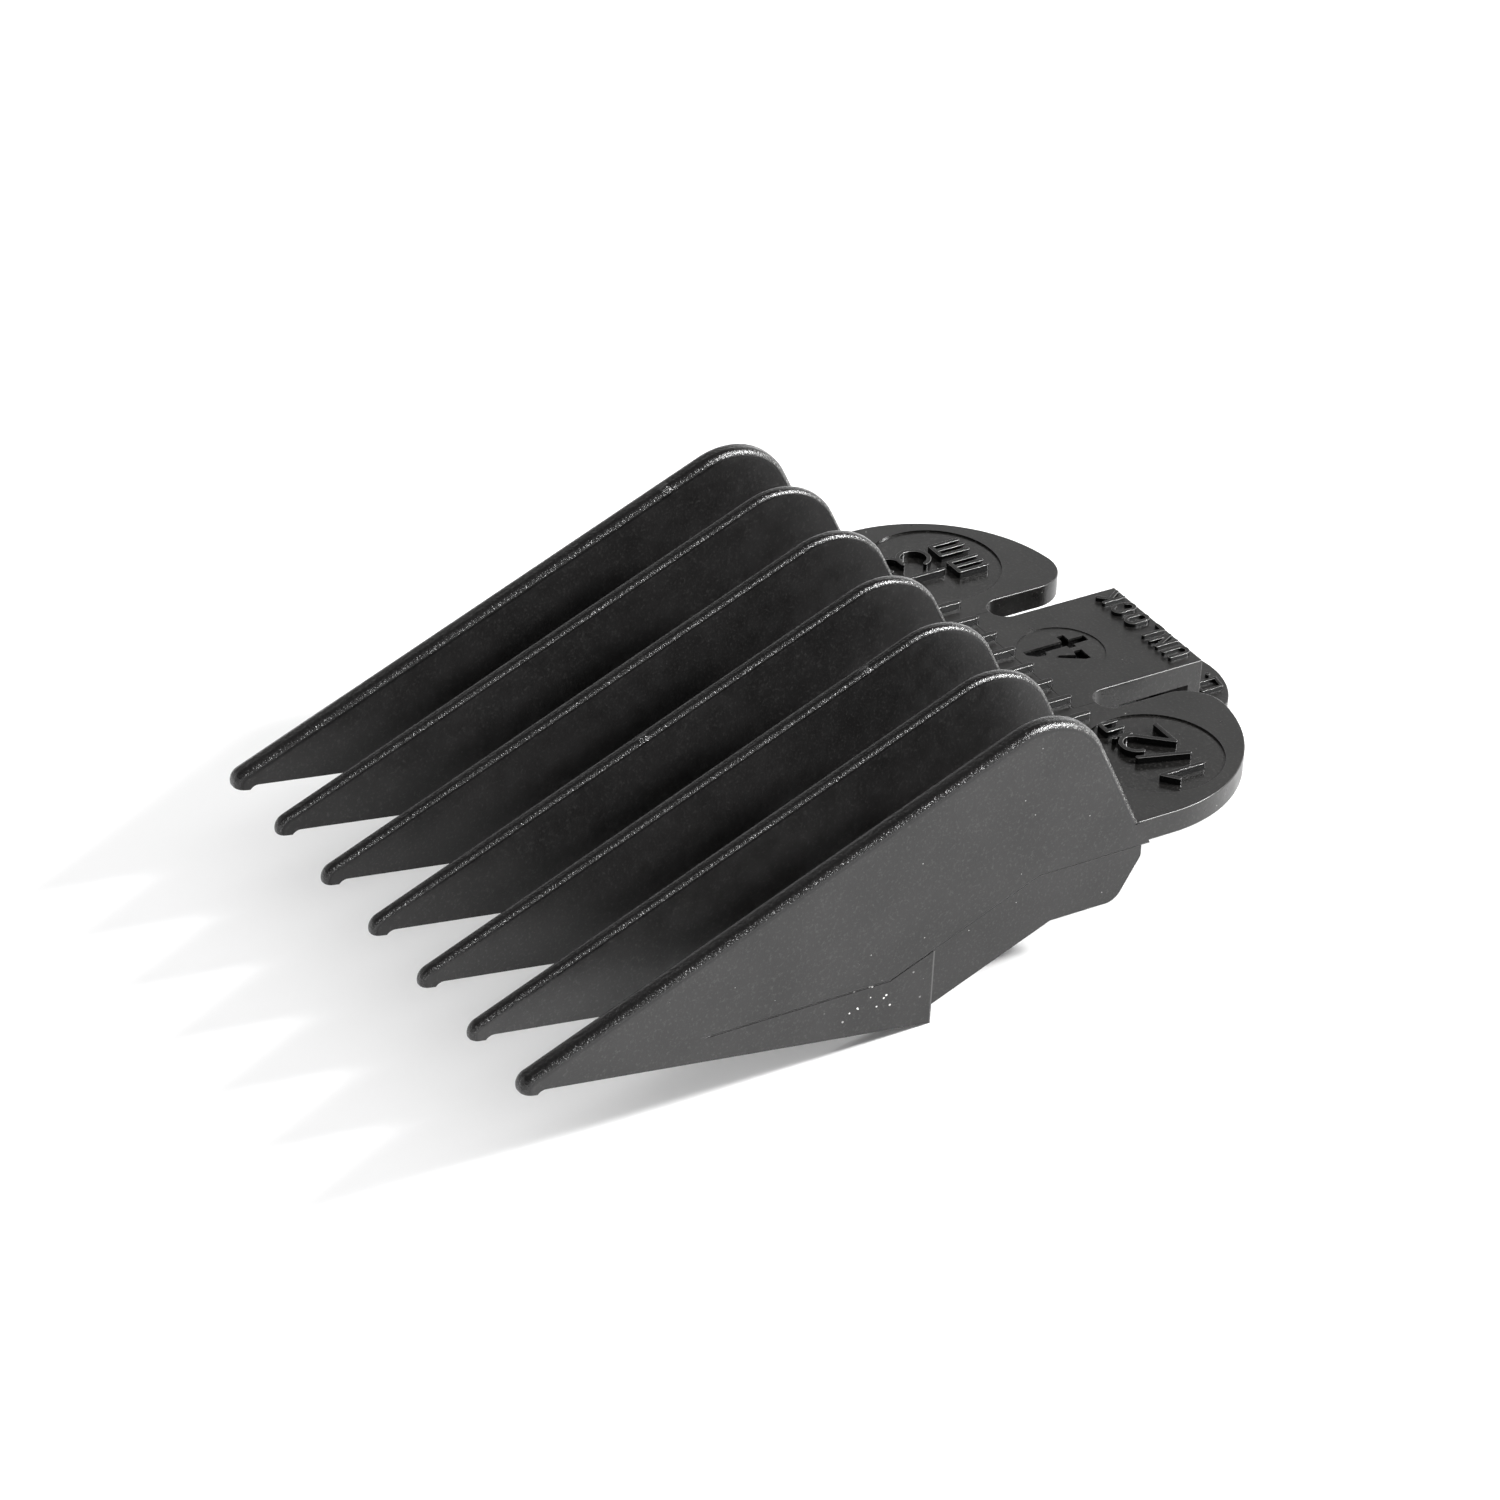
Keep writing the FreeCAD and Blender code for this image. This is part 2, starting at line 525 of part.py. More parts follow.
def make_cheek(side):
    """The wall below the mould line, which holds the blade's side."""
    body = add_body("cheek_right" if side > 0 else "cheek_left")
    sketch = add_sketch(body, "YZ_Plane", "outline", f"{side} * {WALL_IN}")
    draw_polygon(sketch, [
        ("0", "-Sizes.tip_drop"),
        ("0", "-Sizes.cheek_drop"),
        (f"(Sizes.cheek_drop - Sizes.cheek_level) / {TAN}", "-Sizes.cheek_level"),
        ("Sizes.cheek_turn", "-Sizes.cheek_level"),
        ("Sizes.cheek_reach", "-Sizes.cheek_rise"),
        ("Sizes.cheek_reach", "-Sizes.plate_thick"),
        (KNEE, "-Sizes.plate_thick"),
    ])
    length = "Sizes.side_thick / 2 - Sizes.cheek_inset"
    extrude(body, sketch, "wall", length, reverse=side < 0)
    level = -value("Sizes.cheek_level")
    turn = value("Sizes.cheek_turn")

    def rear_corner(edge, middle):
        return abs(middle.y - turn) < 0.01 and abs(middle.z - level) < 0.01

    round_edges(body, "corner", "Sizes.cheek_round", rear_corner)
    outer = abs(value(f"{WALL_IN} + {length}"))

    def lower_edge(edge, middle):
        outside = abs(abs(middle.x) - outer) < 1e-3
        along = abs(edge.Vertexes[0].Y - edge.Vertexes[-1].Y) > 1e-3
        return outside and along and middle.z < -value("Sizes.plate_thick") - 0.5 and middle.y > 0.5

    round_edges(body, "rim", "Sizes.soft_edge", lower_edge)


def make_tab():
    """The springy tab: round root, slots' inner sides, round recess and engraved 4."""
    body = add_body("release_tab")
    root = f"({SLOT_MID})"
    sketch = add_sketch(body, "XY_Plane", "outline")
    draw_polygon(sketch, [
        (f"-{root}", "Sizes.flex_reach"),
        (root, "Sizes.flex_reach"),
        (root, "Sizes.slot_reach"),
        ("Sizes.slot_inner", "Sizes.slot_reach"),
        ("Sizes.slot_inner", "Sizes.tab_reach"),
        ("-Sizes.slot_inner", "Sizes.tab_reach"),
        ("-Sizes.slot_inner", "Sizes.slot_reach"),
        (f"-{root}", "Sizes.slot_reach"),
    ])
    extrude(body, sketch, "plate", "Sizes.plate_thick", reverse=True)
    cut_slot_ends(body)
    slot_reach = value("Sizes.slot_reach")
    rear = value("Sizes.tab_reach")
    inner = value("Sizes.slot_inner")
    slot_front = slot_reach - value(SLOT_ROUND)

    def free_outline(edge, middle):
        ends = edge.Vertexes[0].Point, edge.Vertexes[-1].Point
        upright = abs(ends[0].z - ends[1].z) > 1e-3
        if upright:
            return abs(middle.y - rear) < 1e-3
        return abs(middle.z) < 1e-3 and middle.y > slot_front + 1e-3 and abs(middle.x) < inner + 1.3

    round_edges(body, "rim", "Sizes.soft_edge", free_outline)
    add_tab_root(body, root)
    recess = add_sketch(body, "XY_Plane", "recess_outline")
    draw_circle(recess, "0", "Sizes.number_reach", "Sizes.number_round")
    extrude(body, recess, "recess", "Sizes.disc_depth / 2", kind="Pocket")
    engrave_four(body)


def add_tab_root(body, root):
    """The front of the root is part of a cylinder about the line where the tab bends."""
    radius = value("Sizes.flex_round")
    half = value("Sizes.plate_thick") / 2
    middle = Vector(value("Sizes.flex_reach"), -half, 0)
    lean = math.asin(half / radius)
    run = radius * math.cos(lean)
    sketch = add_sketch(body, "YZ_Plane", "root_outline")
    upper = middle + Vector(-run, half, 0)
    lower = middle + Vector(-run, -half, 0)
    rear_lower = middle + Vector(0, -half, 0)
    rear_upper = middle + Vector(0, half, 0)
    for start, end in ((lower, rear_lower), (rear_lower, rear_upper), (rear_upper, upper)):
        sketch.addGeometry(Part.LineSegment(start, end), False)
    circle = Part.Circle(middle, Vector(0, 0, 1), radius)
    sketch.addGeometry(Part.ArcOfCircle(circle, math.pi - lean, math.pi + lean), False)
    sole, rear, top, arc = range(4)
    for rule in (
        ("Coincident", sole, 2, rear, 1),
        ("Coincident", rear, 2, top, 1),
        ("Coincident", top, 2, arc, 1),
        ("Coincident", arc, 2, sole, 1),
        ("Horizontal", sole),
        ("Horizontal", top),
        ("Vertical", rear),
        ("PointOnObject", rear, 2, -1),
    ):
        sketch.addConstraint(Sketcher.Constraint(*rule))
    rules = (
        ("reach", ("DistanceX", -1, 1, rear, 2, middle.x), "Sizes.flex_reach"),
        ("thick", ("Distance", rear, 2 * half), "Sizes.plate_thick"),
        ("middle", ("DistanceX", -1, 1, arc, 3, middle.x), "Sizes.flex_reach"),
        ("round", ("Radius", arc, radius), "Sizes.flex_round"),
    )
    for name, rule, expression in rules:
        dimension(sketch, name, Sketcher.Constraint(*rule), expression)
    extrude(body, sketch, "root", f"2 * {root}", middle=True)


def engrave_four(body):
    """A stencil 4, read from the rear of the comb: stem, stub of the bar, and a hook."""
    stem = [
        (-1.29, 29.85), (-0.52, 29.85), (-0.52, 28.4), (-0.12, 28.4), (-0.12, 27.75),
        (-0.52, 27.75), (-0.52, 25.7), (-0.08, 25.55), (-0.1, 24.85), (-0.75, 24.04),
        (-1.29, 24.04), (-1.29, 27.75), (-2.05, 27.75), (-2.05, 28.4), (-1.29, 28.4),
    ]
    hook = [
        (0.42, 28.5), (1.86, 28.5), (1.86, 28.05), (0.62, 26.0), (0.42, 26.35), (0.95, 27.6),
        (0.42, 27.8),
    ]
    sketch = add_sketch(body, "XY_Plane", "four_outline")
    for outline in (stem, hook):
        draw_polygon(sketch, [(str(across), str(along)) for across, along in outline])
    extrude(body, sketch, "four", "Sizes.number_depth", kind="Pocket")


def make_leg():
    """The wall below the tab's rear edge."""
    body = add_body("tab_leg")
    sketch = add_sketch(body, "YZ_Plane", "outline")
    front = "Sizes.tab_reach - Sizes.leg_thick"
    draw_polygon(sketch, [
        (front, "-Sizes.plate_thick"),
        (front, f"-{TONGUE_SOLE}"),
        ("Sizes.tab_reach", f"-{TONGUE_SOLE}"),
        ("Sizes.tab_reach", "-Sizes.plate_thick"),
    ])
    extrude(body, sketch, "wall", "2 * Sizes.slot_inner", middle=True)
    rear = value("Sizes.tab_reach")

    def rear_corner(edge, middle):
        upright = abs(edge.Vertexes[0].Z - edge.Vertexes[-1].Z) > 1e-3
        return upright and abs(middle.y - rear) < 1e-3

    round_edges(body, "corners", "Sizes.soft_edge", rear_corner)


def make_catch():
    """The lip that hooks under the blade: level top, blunt edge and sloping lead-in."""
    body = add_body("blade_catch")
    sketch = add_sketch(body, "YZ_Plane", "outline")
    front = "Sizes.tab_reach - Sizes.leg_thick"
    top = "Sizes.plate_thick + Sizes.blade_thick"
    draw_polygon(sketch, [
        (front, f"-({top})"),
        (f"{front} - Sizes.catch_reach", f"-({top})"),
        (f"{front} - Sizes.catch_reach", f"-({top} + Sizes.catch_edge)"),
        (front, f"-{TONGUE_SOLE}"),
    ])
    extrude(body, sketch, "lip", "2 * Sizes.slot_inner", middle=True)


def make_tongue():
    """The rounded ledge behind the leg, for the thumb."""
    body = add_body("thumb_tongue")
    half = value("Sizes.slot_inner")
    front = value("Sizes.tab_reach")
    radius = value("Sizes.tongue_round")
    middle = Vector(0, value("Sizes.tongue_reach"), 0)
    lean = math.acos(half / radius)
    shoulder = middle.y + radius * math.sin(lean)
    spots = (
        Vector(-half, shoulder, 0),
        Vector(-half, front, 0),
        Vector(half, front, 0),
        Vector(half, shoulder, 0),
    )
    sketch = add_sketch(body, "XY_Plane", "outline", "-Sizes.tongue_drop")
    for start, end in zip(spots, spots[1:]):
        sketch.addGeometry(Part.LineSegment(start, end), False)
    circle = Part.Circle(middle, Vector(0, 0, 1), radius)
    sketch.addGeometry(Part.ArcOfCircle(circle, lean, math.pi - lean), False)
    left, base, right, arc = range(4)
    for rule in (
        ("Coincident", left, 2, base, 1),
        ("Coincident", base, 2, right, 1),
        ("Coincident", right, 2, arc, 1),
        ("Coincident", arc, 2, left, 1),
        ("Vertical", left),
        ("Horizontal", base),
        ("Vertical", right),
        ("PointOnObject", arc, 3, -2),
    ):
        sketch.addConstraint(Sketcher.Constraint(*rule))
    rules = (
        ("half", ("DistanceX", -1, 1, right, 1, half), "Sizes.slot_inner"),
        ("front", ("DistanceY", -1, 1, right, 1, front), "Sizes.tab_reach"),
        ("round", ("Radius", arc, radius), "Sizes.tongue_round"),
        ("reach", ("DistanceY", -1, 1, arc, 3, middle.y), "Sizes.tongue_reach"),
    )
    for name, rule, expression in rules:
        dimension(sketch, name, Sketcher.Constraint(*rule), expression)
    extrude(body, sketch, "ledge", "Sizes.tongue_thick", reverse=True)

    def rim(edge, middle):
        flat = abs(edge.Vertexes[0].Z - edge.Vertexes[-1].Z) < 1e-3
        return flat and middle.y > front + 1e-3

    round_edges(body, "rim", "Sizes.soft_edge", rim)


# Raised letters are drawn with a round pen on a grid that is one letter high. A path starts at
# its first pair. Each further pair is a straight stroke to that place, and each group of four
# is an arc through the first place to the second. The letters are read from the rear of the
# comb, so they are turned half round.
GLYPHS = {
    "1": [[(0.0, 0.76), (0.27, 1.0), (0.27, 0.0)]],
    "2": [[(0.0, 0.74), (0.28, 1.0, 0.57, 0.74), (0.52, 0.6), (0.0, 0.0), (0.66, 0.0)]],
    "3": [[(0.03, 0.86), (0.24, 1.0, 0.45, 0.78), (0.4, 0.62, 0.25, 0.55)],
          [(0.15, 0.55), (0.25, 0.55), (0.45, 0.45, 0.5, 0.27), (0.25, 0.0, 0.0, 0.18)]],
    "m": [[(0.0, 0.0), (0.0, 1.0), (0.31, 1.0), (0.31, 0.0)], [(0.31, 1.0), (0.62, 1.0), (0.62, 0.0)]],
    "i": [[(0.0, 0.0), (0.0, 0.63)], [(0.0, 0.95), (0.0, 0.97)]],
    "n": [[(0.0, 0.0), (0.0, 0.95), (0.68, 0.95), (0.68, 0.0)]],
    "/": [[(0.0, 0.0), (0.31, 1.0)]],
    "U": [[(0.0, 1.0), (0.0, 0.25), (0.25, 0.0, 0.5, 0.25), (0.5, 1.0)]],
    "N": [[(0.0, 0.0), (0.0, 1.0), (0.5, 0.0), (0.5, 1.0)]],
    "L": [[(0.0, 1.0), (0.0, 0.0), (0.45, 0.0)]],
    "O": [[(0.0, 0.3), (0.25, 0.0, 0.5, 0.3), (0.5, 0.7), (0.25, 1.0, 0.0, 0.7), (0.0, 0.3)]],
    "C": [[(0.48, 0.8), (0.25, 1.0, 0.0, 0.7), (0.0, 0.3), (0.25, 0.0, 0.48, 0.2)]],
    "K": [[(0.0, 0.0), (0.0, 1.0)], [(0.5, 1.0), (0.0, 0.42)], [(0.14, 0.58), (0.52, 0.0)]],
}


def pen_wire(path, spot):
    """The wire that the pen follows."""
    edges = []
    start = spot(*path[0])
    for step in path[1:]:
        end = spot(*step[-2:])
        if len(step) == 4:
            edges.append(Part.Arc(start, spot(*step[:2]), end).toShape())
        else:
            edges.append(Part.makeLine(start, end))
        start = end
    return Part.Wire(edges)


def straight_outline(start, end, width):
    """The outline of one straight stroke with round ends."""
    run = (end - start).normalize() * (width / 2)
    side = Vector(-run.y, run.x, 0)
    return Part.Wire([
        Part.makeLine(start - side, end - side),
        Part.Arc(end - side, end + run, end + side).toShape(),
        Part.makeLine(end + side, start + side),
        Part.Arc(start + side, start - run, start - side).toShape(),
    ])


def pen_solid(path, spot, width, rise):
    """A path drawn with a round pen, raised by the given height."""
    lift = Vector(0, 0, rise)
    if len(path) == 2 and len(path[1]) == 2:
        outline = straight_outline(spot(*path[0]), spot(*path[1]), width)
        return Part.Face(outline).extrude(lift)
    wire = pen_wire(path, spot)
    outline = wire.makeOffset2D(width / 2)
    if not wire.isClosed():
        return Part.Face(outline).extrude(lift)
    other = wire.makeOffset2D(-width / 2)
    inside, outside = sorted((outline, other), key=lambda item: item.BoundBox.DiagonalLength)
    return Part.Face(outside).extrude(lift).cut(Part.Face(inside).extrude(lift))


def soften(solid, radius):
    """Round the top edges of a raised mark."""
    top = solid.BoundBox.ZMax
    edges = [edge for edge in solid.Edges if all(abs(end.Z - top) < 1e-6 for end in edge.Vertexes)]
    return solid.makeFillet(radius, edges)


def letter_solid(letter, right, base, height, pen, floor, rise):
    """A raised letter whose left side is at right (large X) and whose foot is at base."""
    def spot(across, up):
        return Vector(right - across * height, base - up * height, floor)

    parts = [pen_solid(path, spot, pen, rise) for path in GLYPHS[letter]]
    solid = parts[0]
    if len(parts) > 1:
        solid = parts[0].multiFuse(parts[1:]).removeSplitter()
    edge = value("Sizes.mark_edge")
    return Part.makeCompound([soften(item, edge) for item in solid.Solids])


def add_feature(label, solids):
    """A group of raised solids as one sub-part."""
    feature = doc.addObject("Part::Feature", label)
    feature.Label = label
    feature.Shape = Part.makeCompound([solid for shape in solids for solid in shape.Solids])
    pieces[label] = feature


def make_marks():
    """Raised size marks on the ears, and the word on the tab."""
    rise = value("Sizes.mark_rise")
    pen = value("Sizes.mark_pen")
    recess = -value("Sizes.disc_depth")
    middle = value("Sizes.disc_middle")
    reach = value("Sizes.disc_reach")
    # letter, foot's left side and base from the recess's middle, height
    metric = (
        ("1", 2.69, 0.03, 4.6),
        ("3", 0.04, 0.08, 4.7),
        ("m", 2.41, 3.63, 2.6),
        ("m", -0.44, 3.63, 2.6),
    )
    inch = (
        ("1", 4.51, 2.28, 3.85),
        ("/", 1.76, 2.18, 4.0),
        ("2", -0.14, 2.13, 4.1),
        ("i", -2.69, -0.42, 1.5),
        ("n", -3.74, -0.42, 1.5),
    )
    for label, marks, across in (("mark_13mm", metric, -middle), ("mark_half_inch", inch, middle)):
        add_feature(label, [
            letter_solid(letter, across + start, reach + base, height, pen, recess, rise)
            for letter, start, base, height in marks
        ])
    foot = value("Sizes.tab_reach") - 0.5
    word = []
    for index, letter in enumerate("UNLOCK"):
        start = 5.2 - 1.9 * index
        word.append(letter_solid(letter, start, foot, 1.9, value("Sizes.word_pen"), 0.0,
                                 value("Sizes.word_rise")))
    add_feature("tab_word", word)


def make_frame():
    """A small raised frame on the tongue, with a round pip beside it."""
    rear = value("Sizes.tab_reach")
    rise = value("Sizes.word_rise")
    floor = -value("Sizes.tongue_drop")
    corners = [(3.0, 2.85), (3.0, 4.75), (1.75, 4.95), (1.75, 2.85), (3.0, 2.85)]

    def spot(across, along):
        return Vector(across, rear + along, floor)

    frame = pen_solid(corners, spot, value("Sizes.frame_pen"), rise)
    pip = Part.makeCylinder(0.2, rise, spot(1.0, 4.75))
    edge = value("Sizes.mark_edge")
    add_feature("tongue_frame", [soften(item, edge) for item in (frame, pip)])


def make_grips():
    """Thin raised bars on the plate, in front of the tab's root."""
    wide = value("Sizes.grip_wide")
    run = (value("Sizes.grip_long") - wide) / 2
    reach = value("Sizes.grip_reach")
    bars = []
    for index in range(GRIPS):
        across = (index - (GRIPS - 1) / 2) * value("Sizes.grip_pitch")

        def spot(side, along, across=across):
            return Vector(across + side, reach + along, 0)

        bar = pen_solid([(0.0, -run), (0.0, run)], spot, wide, value("Sizes.grip_rise"))
        bars.append(soften(bar, value("Sizes.mark_edge")))
    add_feature("grip_bars", bars)


def rest_placement():
    """Tip the comb onto its step corners and tongue, and centre its footprint on the origin."""
    back = value("Sizes.tongue_reach") + value("Sizes.tongue_round")
    lift = value("Sizes.sole_drop") - value(TONGUE_SOLE)
    tip = Rotation(Vector(1, 0, 0), -math.degrees(math.atan2(lift, back)))
    box = FreeCAD.BoundBox()
    for piece in pieces.values():
        shape = piece.Shape.copy()
        shape.Placement = Placement(Vector(), tip).multiply(shape.Placement)
        box.add(shape.optimalBoundingBox(False))
    return Placement(Vector(0, -(box.YMin + box.YMax) / 2, -box.ZMin), tip)


def check_document():
    """Stop if any object failed or any sub-part has no valid shape."""
    for item in doc.Objects:
        if "Invalid" in item.State or "Error" in item.State:
            raise ValueError(f"{item.Label} is {item.State}")
    for label, piece in pieces.items():
        if piece.Shape.isNull() or not piece.Shape.isValid():
            raise ValueError(f"{label} has no valid shape")


for number in range(1, RIBS + 1):
    make_rib(number)
make_web()
make_plate()
make_ear_left(make_ear_right())
make_cheek(-1)
make_cheek(1)
make_tab()
make_leg()
make_catch()
make_tongue()
make_marks()
make_frame()
make_grips()
doc.recompute()

outer = value(f"{WALL_IN}")
for number in range(1, RIBS + 1):
    across = (number - (RIBS + 1) / 2) * value("Sizes.rib_pitch")
    if number in (1, RIBS):
        across = math.copysign(outer, across)
    pieces[f"rib_{number}"].Placement = Placement(Vector(across, 0, 0), Rotation())
doc.recompute()
rest = rest_placement()
for label, piece in pieces.items():
    if label != "ear_left":
        piece.Placement = rest.multiply(piece.Placement)
doc.recompute()
check_document()

os.makedirs("parts", exist_ok=True)
for label, piece in pieces.items():
    piece.Shape.exportStep(f"parts/{label}.step")
    box = piece.Shape.optimalBoundingBox(False)
    print(f"{label:16s} solids {len(piece.Shape.Solids)} volume {piece.Shape.Volume:9.3f} "
          f"x {box.XMin:7.2f} {box.XMax:7.2f} y {box.YMin:7.2f} {box.YMax:7.2f} "
          f"z {box.ZMin:6.2f} {box.ZMax:6.2f}")
axis = rest.multVec(Vector(0, value("Sizes.flex_reach"), -value("Sizes.plate_thick") / 2))
print("rest", rest)
print("flex line passes through", axis)
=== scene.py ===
import json
import math

import bpy
from mathutils import Matrix, Vector

MM = 0.001
WHITE = (1.0, 1.0, 1.0, 1.0)

# The camera, in the frame of the CAD. Angles are in degrees, and azimuth 0 looks along +Y.
AIM = Vector((-1.43, -3.983, 10.67)) * MM
DISTANCE = 465.06 * MM
AZIMUTH = 61.797
ELEVATION = 36.087
ROLL = 4.761
LENS = 142.57
SENSOR = 36.0
CLIP_START = 0.01
CLIP_END = 20.0

# Lights: directions from the comb, distances and sizes in metres, powers in watts. The key is
# the hard light from the right. The rim gives only gleam, and the fill gives none.
LIGHT_DISTANCE = 1.2
KEY_DIRECTION = Vector((0.397, 0.785, 0.478))
KEY_SIZE = 0.14
KEY_POWER = 27.5
RIM_DIRECTION = Vector((0.562, 0.541, 0.632))
RIM_SIZE = 0.2
RIM_POWER = 24.0
FILL_DIRECTION = Vector((0.0, 0.0, 1.0))
FILL_HEIGHT = 1.5
FILL_SIZE = 2.4
FILL_POWER = 30.0

# The surrounding's strength low down and overhead, and the sines of the elevations between
# which it changes.
LOW_SKY = 1.25
HIGH_SKY = 0.08
LOW_RISE = 0.25
HIGH_RISE = 0.63

FLOOR_HALF = 1.1
FLOOR_CORNERS = ((-1, -1), (1, -1), (1, 1), (-1, 1))
FLOOR_SCALE = 6.0
FLOOR_DARK = (0.92, 0.92, 0.92, 1.0)
FLOOR_PALE = (0.94, 0.94, 0.94, 1.0)
FLOOR_ROUGH = 0.8
FLOOR_SPECULAR = 0.2

# The comb lies tipped. These turn a place on it into the frame of its flat plate, whose Y is
# 0 at the step and whose Z is 0 on top.
TIP = math.radians(7.40305)
REST = Vector((0.0, -2.45917, 12.5941)) * MM

# Nylon: linear colours, roughnesses, heights of the grain as shares of BUMP_DISTANCE, and
# noise in cells per metre. A pair of levels is where a mask starts and where it ends.
RIB_COLOUR = (0.010, 0.0095, 0.0095)
PLATE_COLOUR = (0.008, 0.0077, 0.0074)
MARK_COLOUR = (0.010, 0.0095, 0.009)
RIB_ROUGH, RIB_GRAIN = 0.38, 0.08
PLATE_ROUGH, PLATE_GRAIN = 0.32, 0.06
MARK_ROUGH, MARK_GRAIN = 0.19, 0.02
NYLON_IOR = 1.46
BUMP_DISTANCE = 0.09 * MM
NOISE_DETAIL = 3.0
NOISE_RANGE = (0.3, 0.7)
FINE_SCALE = 4300.0
FINE_ROUGHNESS = 0.65
TINT_SCALE = 160.0
TINT_LEVELS = (0.35, 0.65)
TINT_DARK, TINT_PALE = 0.75, 1.25
SHINE_SCALE = 700.0
SMOOTHER, ROUGHER = 0.05, 0.06
SPECKLE = (0.06, 0.059, 0.057, 1.0)
SPECKLE_LEVELS = (0.54, 0.72)
SPECKLE_SHARE = 0.4

# Dust and crumbs: cells per metre, the share of them that hold a speck, and the speck's radius
# in cells.
DUST = (0.30, 0.30, 0.29, 1.0)
DUST_CELLS = (640.0, 0.7, 0.032)
CRUMB = (0.75, 0.74, 0.72, 1.0)
CRUMB_CELLS = (1400.0, 0.9, 0.13)

# Crests of the ribs: levels of how far the surface faces sideways, or rearwards for the heel.
CREST_LEVELS = (0.90, 0.995)
CREST_ROUGH = 0.22
CREST_GRAIN = 0.75
# Painted shade: how much and how dark the crests' tops are painted.
CREST_SHADE_SHARE = 0.6
CREST_SHADE = 0.5
# Painted glints: pale specks on the crests' shoulders, and a painted highlight where they turn
# at the heel.
SHOULDER_RISE, SHOULDER_FALL = (0.40, 0.60), (0.86, 0.93)
SHOULDER_NOISE_SCALE = 8500.0
SHOULDER_NOISE_DETAIL = 1.0
SHOULDER_NOISE_LEVELS = (0.52, 0.66)
INNER_SHOULDER_GLINT = (0.07, 0.07, 0.07, 1.0)
OUTER_SHOULDER_GLINT = (0.03, 0.03, 0.03, 1.0)
HEEL_HIGHLIGHT = (0.17, 0.17, 0.165, 1.0)
HEEL_LEVELS = (-0.1, 0.3)
# Painted shade: a dark line where the crest's rounding meets the side.
SHADE_LINE_RISE, SHADE_LINE_FALL = (0.93, 0.965), (0.985, 0.995)
SHADE_LINE = (0.002, 0.002, 0.002, 1.0)
SHADE_LINE_SHARE = 0.8

# Looks of single places on the comb, and below them where the places are, in metres in the flat
# plate's frame. Three numbers are a middle, how far from it a mask is whole and how far from it
# the mask ends.
GROOVE_DEPTH = 1.2
# Painted highlight: a pale line on the step's edge.
STEP_HIGHLIGHT = (0.075, 0.074, 0.073, 1.0)
WITNESS_GRAIN = 2.0
DISH_ROUGH = 0.2
# Painted shade inside the engraved number.
PIT_SHADE = (0.001, 0.001, 0.001, 1.0)
PIT_ROUGH = 0.12
OUTER_RIB = (21.9 * MM, 22.0 * MM)
OUTER_FACE = (23.8 * MM, 23.9 * MM)
MOULD_SLOPE = math.tan(math.radians(22.9))
MOULD_DROP = 5.85 * MM
MOULD_LOWEST, MOULD_HIGHEST = -7.5 * MM, -2.0 * MM
MOULD_WIDTH = (0.03 * MM, 0.10 * MM)
MOULD_START = (-20.5 * MM, -19.5 * MM)
STEP_ALONG = (-0.06 * MM, 0.03 * MM, 0.09 * MM)
STEP_TOP = (-6.1 * MM, -5.9 * MM)
CRUMBS_ALONG = (-5.2 * MM, 3.0 * MM, 4.6 * MM)
CRUMBS_UP = (-8.8 * MM, 0.7 * MM, 1.6 * MM)
WITNESS_PLACES = ((-23.15 * MM, 2.9 * MM), (0.0, -12.2 * MM), (7.8 * MM, 2.7 * MM))
WITNESS_ACROSS = (1.2 * MM, 1.4 * MM)
WITNESS_ALONG = (0.25 * MM, 0.45 * MM)
DISH_ACROSS, DISH_ALONG, DISH_RADIUS = 16.04 * MM, 24.87 * MM, 5.66 * MM
NUMBER_ALONG = 26.95 * MM
NUMBER_HALF_WIDTH, NUMBER_HALF_LENGTH = 2.4 * MM, 3.2 * MM
PIT_TOP = (-0.35 * MM, -0.2 * MM)

# Raised marks: levels of how far the surface faces up. Their sides get painted shade and their
# top edges a painted highlight.
MARK_FLAT = (0.3, 0.9)
MARK_DARK = 0.4
MARK_SIDE_SHADE = (0.002, 0.002, 0.002, 1.0)
MARK_SIDE_ROUGH = 0.12
MARK_EDGE_HIGHLIGHT = (0.09, 0.089, 0.087, 1.0)
EDGE_RISE, EDGE_FALL = (0.25, 0.45), (0.85, 0.96)


def make_camera():
    """The camera at the photograph's viewpoint."""
    azimuth, elevation = math.radians(AZIMUTH), math.radians(ELEVATION)
    away = Vector((
        math.sin(azimuth) * math.cos(elevation),
        -math.cos(azimuth) * math.cos(elevation),
        math.sin(elevation),
    ))
    data = bpy.data.cameras.new("view")
    data.lens = LENS
    data.sensor_width = SENSOR
    data.clip_start = CLIP_START
    data.clip_end = CLIP_END
    camera = bpy.data.objects.new("view", data)
    bpy.context.collection.objects.link(camera)
    turn = (-away).to_track_quat("-Z", "Y").to_matrix().to_4x4()
    roll = Matrix.Rotation(math.radians(-ROLL), 4, "Z")
    camera.matrix_world = Matrix.Translation(AIM + away * DISTANCE) @ turn @ roll
    bpy.context.scene.camera = camera


def make_light(name, direction, distance, size, power, mirrored=True, spread=True):
    """A square area light that points at the comb, with or without gleam and spread light."""
    data = bpy.data.lights.new(name, "AREA")
    data.shape = "SQUARE"
    data.size = size
    data.energy = power
    light = bpy.data.objects.new(name, data)
    bpy.context.collection.objects.link(light)
    light.visible_glossy = mirrored
    light.visible_diffuse = spread
    place = direction.normalized() * distance
    turn = (-place).to_track_quat("-Z", "Y").to_matrix().to_4x4()
    light.matrix_world = Matrix.Translation(place) @ turn


